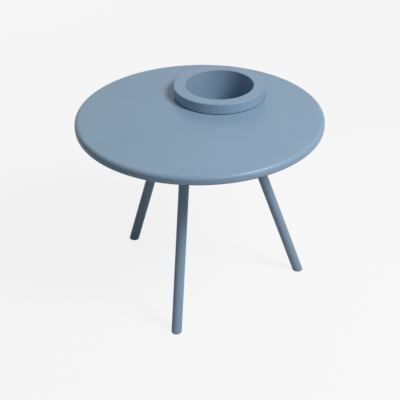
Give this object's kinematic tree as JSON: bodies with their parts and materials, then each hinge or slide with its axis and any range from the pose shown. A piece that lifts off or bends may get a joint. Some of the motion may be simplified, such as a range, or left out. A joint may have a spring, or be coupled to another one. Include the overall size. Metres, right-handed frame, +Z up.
{
  "type": "side table",
  "caption": "Round steel side table on splayed tube legs, with a lift-out pot under a wide raised collar set off-centre through its top.",
  "frame": {"origin": "on the floor under the middle of the round top", "axes": "+Z up; +Y from the middle of the top towards the pot; +X to the right when the pot is at the far side"},
  "size_m": [0.5999, 0.6, 0.49],
  "materials": {
    "powder_coat": "satin grey-blue powder coat",
    "stainless": "plain stainless",
    "black_rubber": "matt",
    "glide_plastic": "matt, in the coat's colour"
  },
  "bodies": {
    "table": {"tabletop": "powder_coat", "right_leg": "powder_coat", "left_leg": "powder_coat", "front_leg": "powder_coat", "right_leg_plate": "powder_coat", "left_leg_plate": "powder_coat", "front_leg_plate": "powder_coat", "right_foot": "glide_plastic", "left_foot": "glide_plastic", "front_foot": "glide_plastic", "plate_studs": "stainless", "plate_washers": "stainless", "plate_nuts": "stainless"},
    "pot": {"pot_bowl": "powder_coat", "rim_collar": "powder_coat", "rim_seal": "black_rubber"},
    "plug": {"drain_plug": "black_rubber"}
  },
  "joints": [
    {"name": "pot_lift", "type": "slide", "parent": "table", "child": "pot", "axis": [0, 0, 1], "range_m": [0, 0.2]},
    {"name": "plug_pull", "type": "slide", "parent": "pot", "child": "plug", "axis": [0, 0, 1], "range_m": [0, 0.2]}
  ]
}
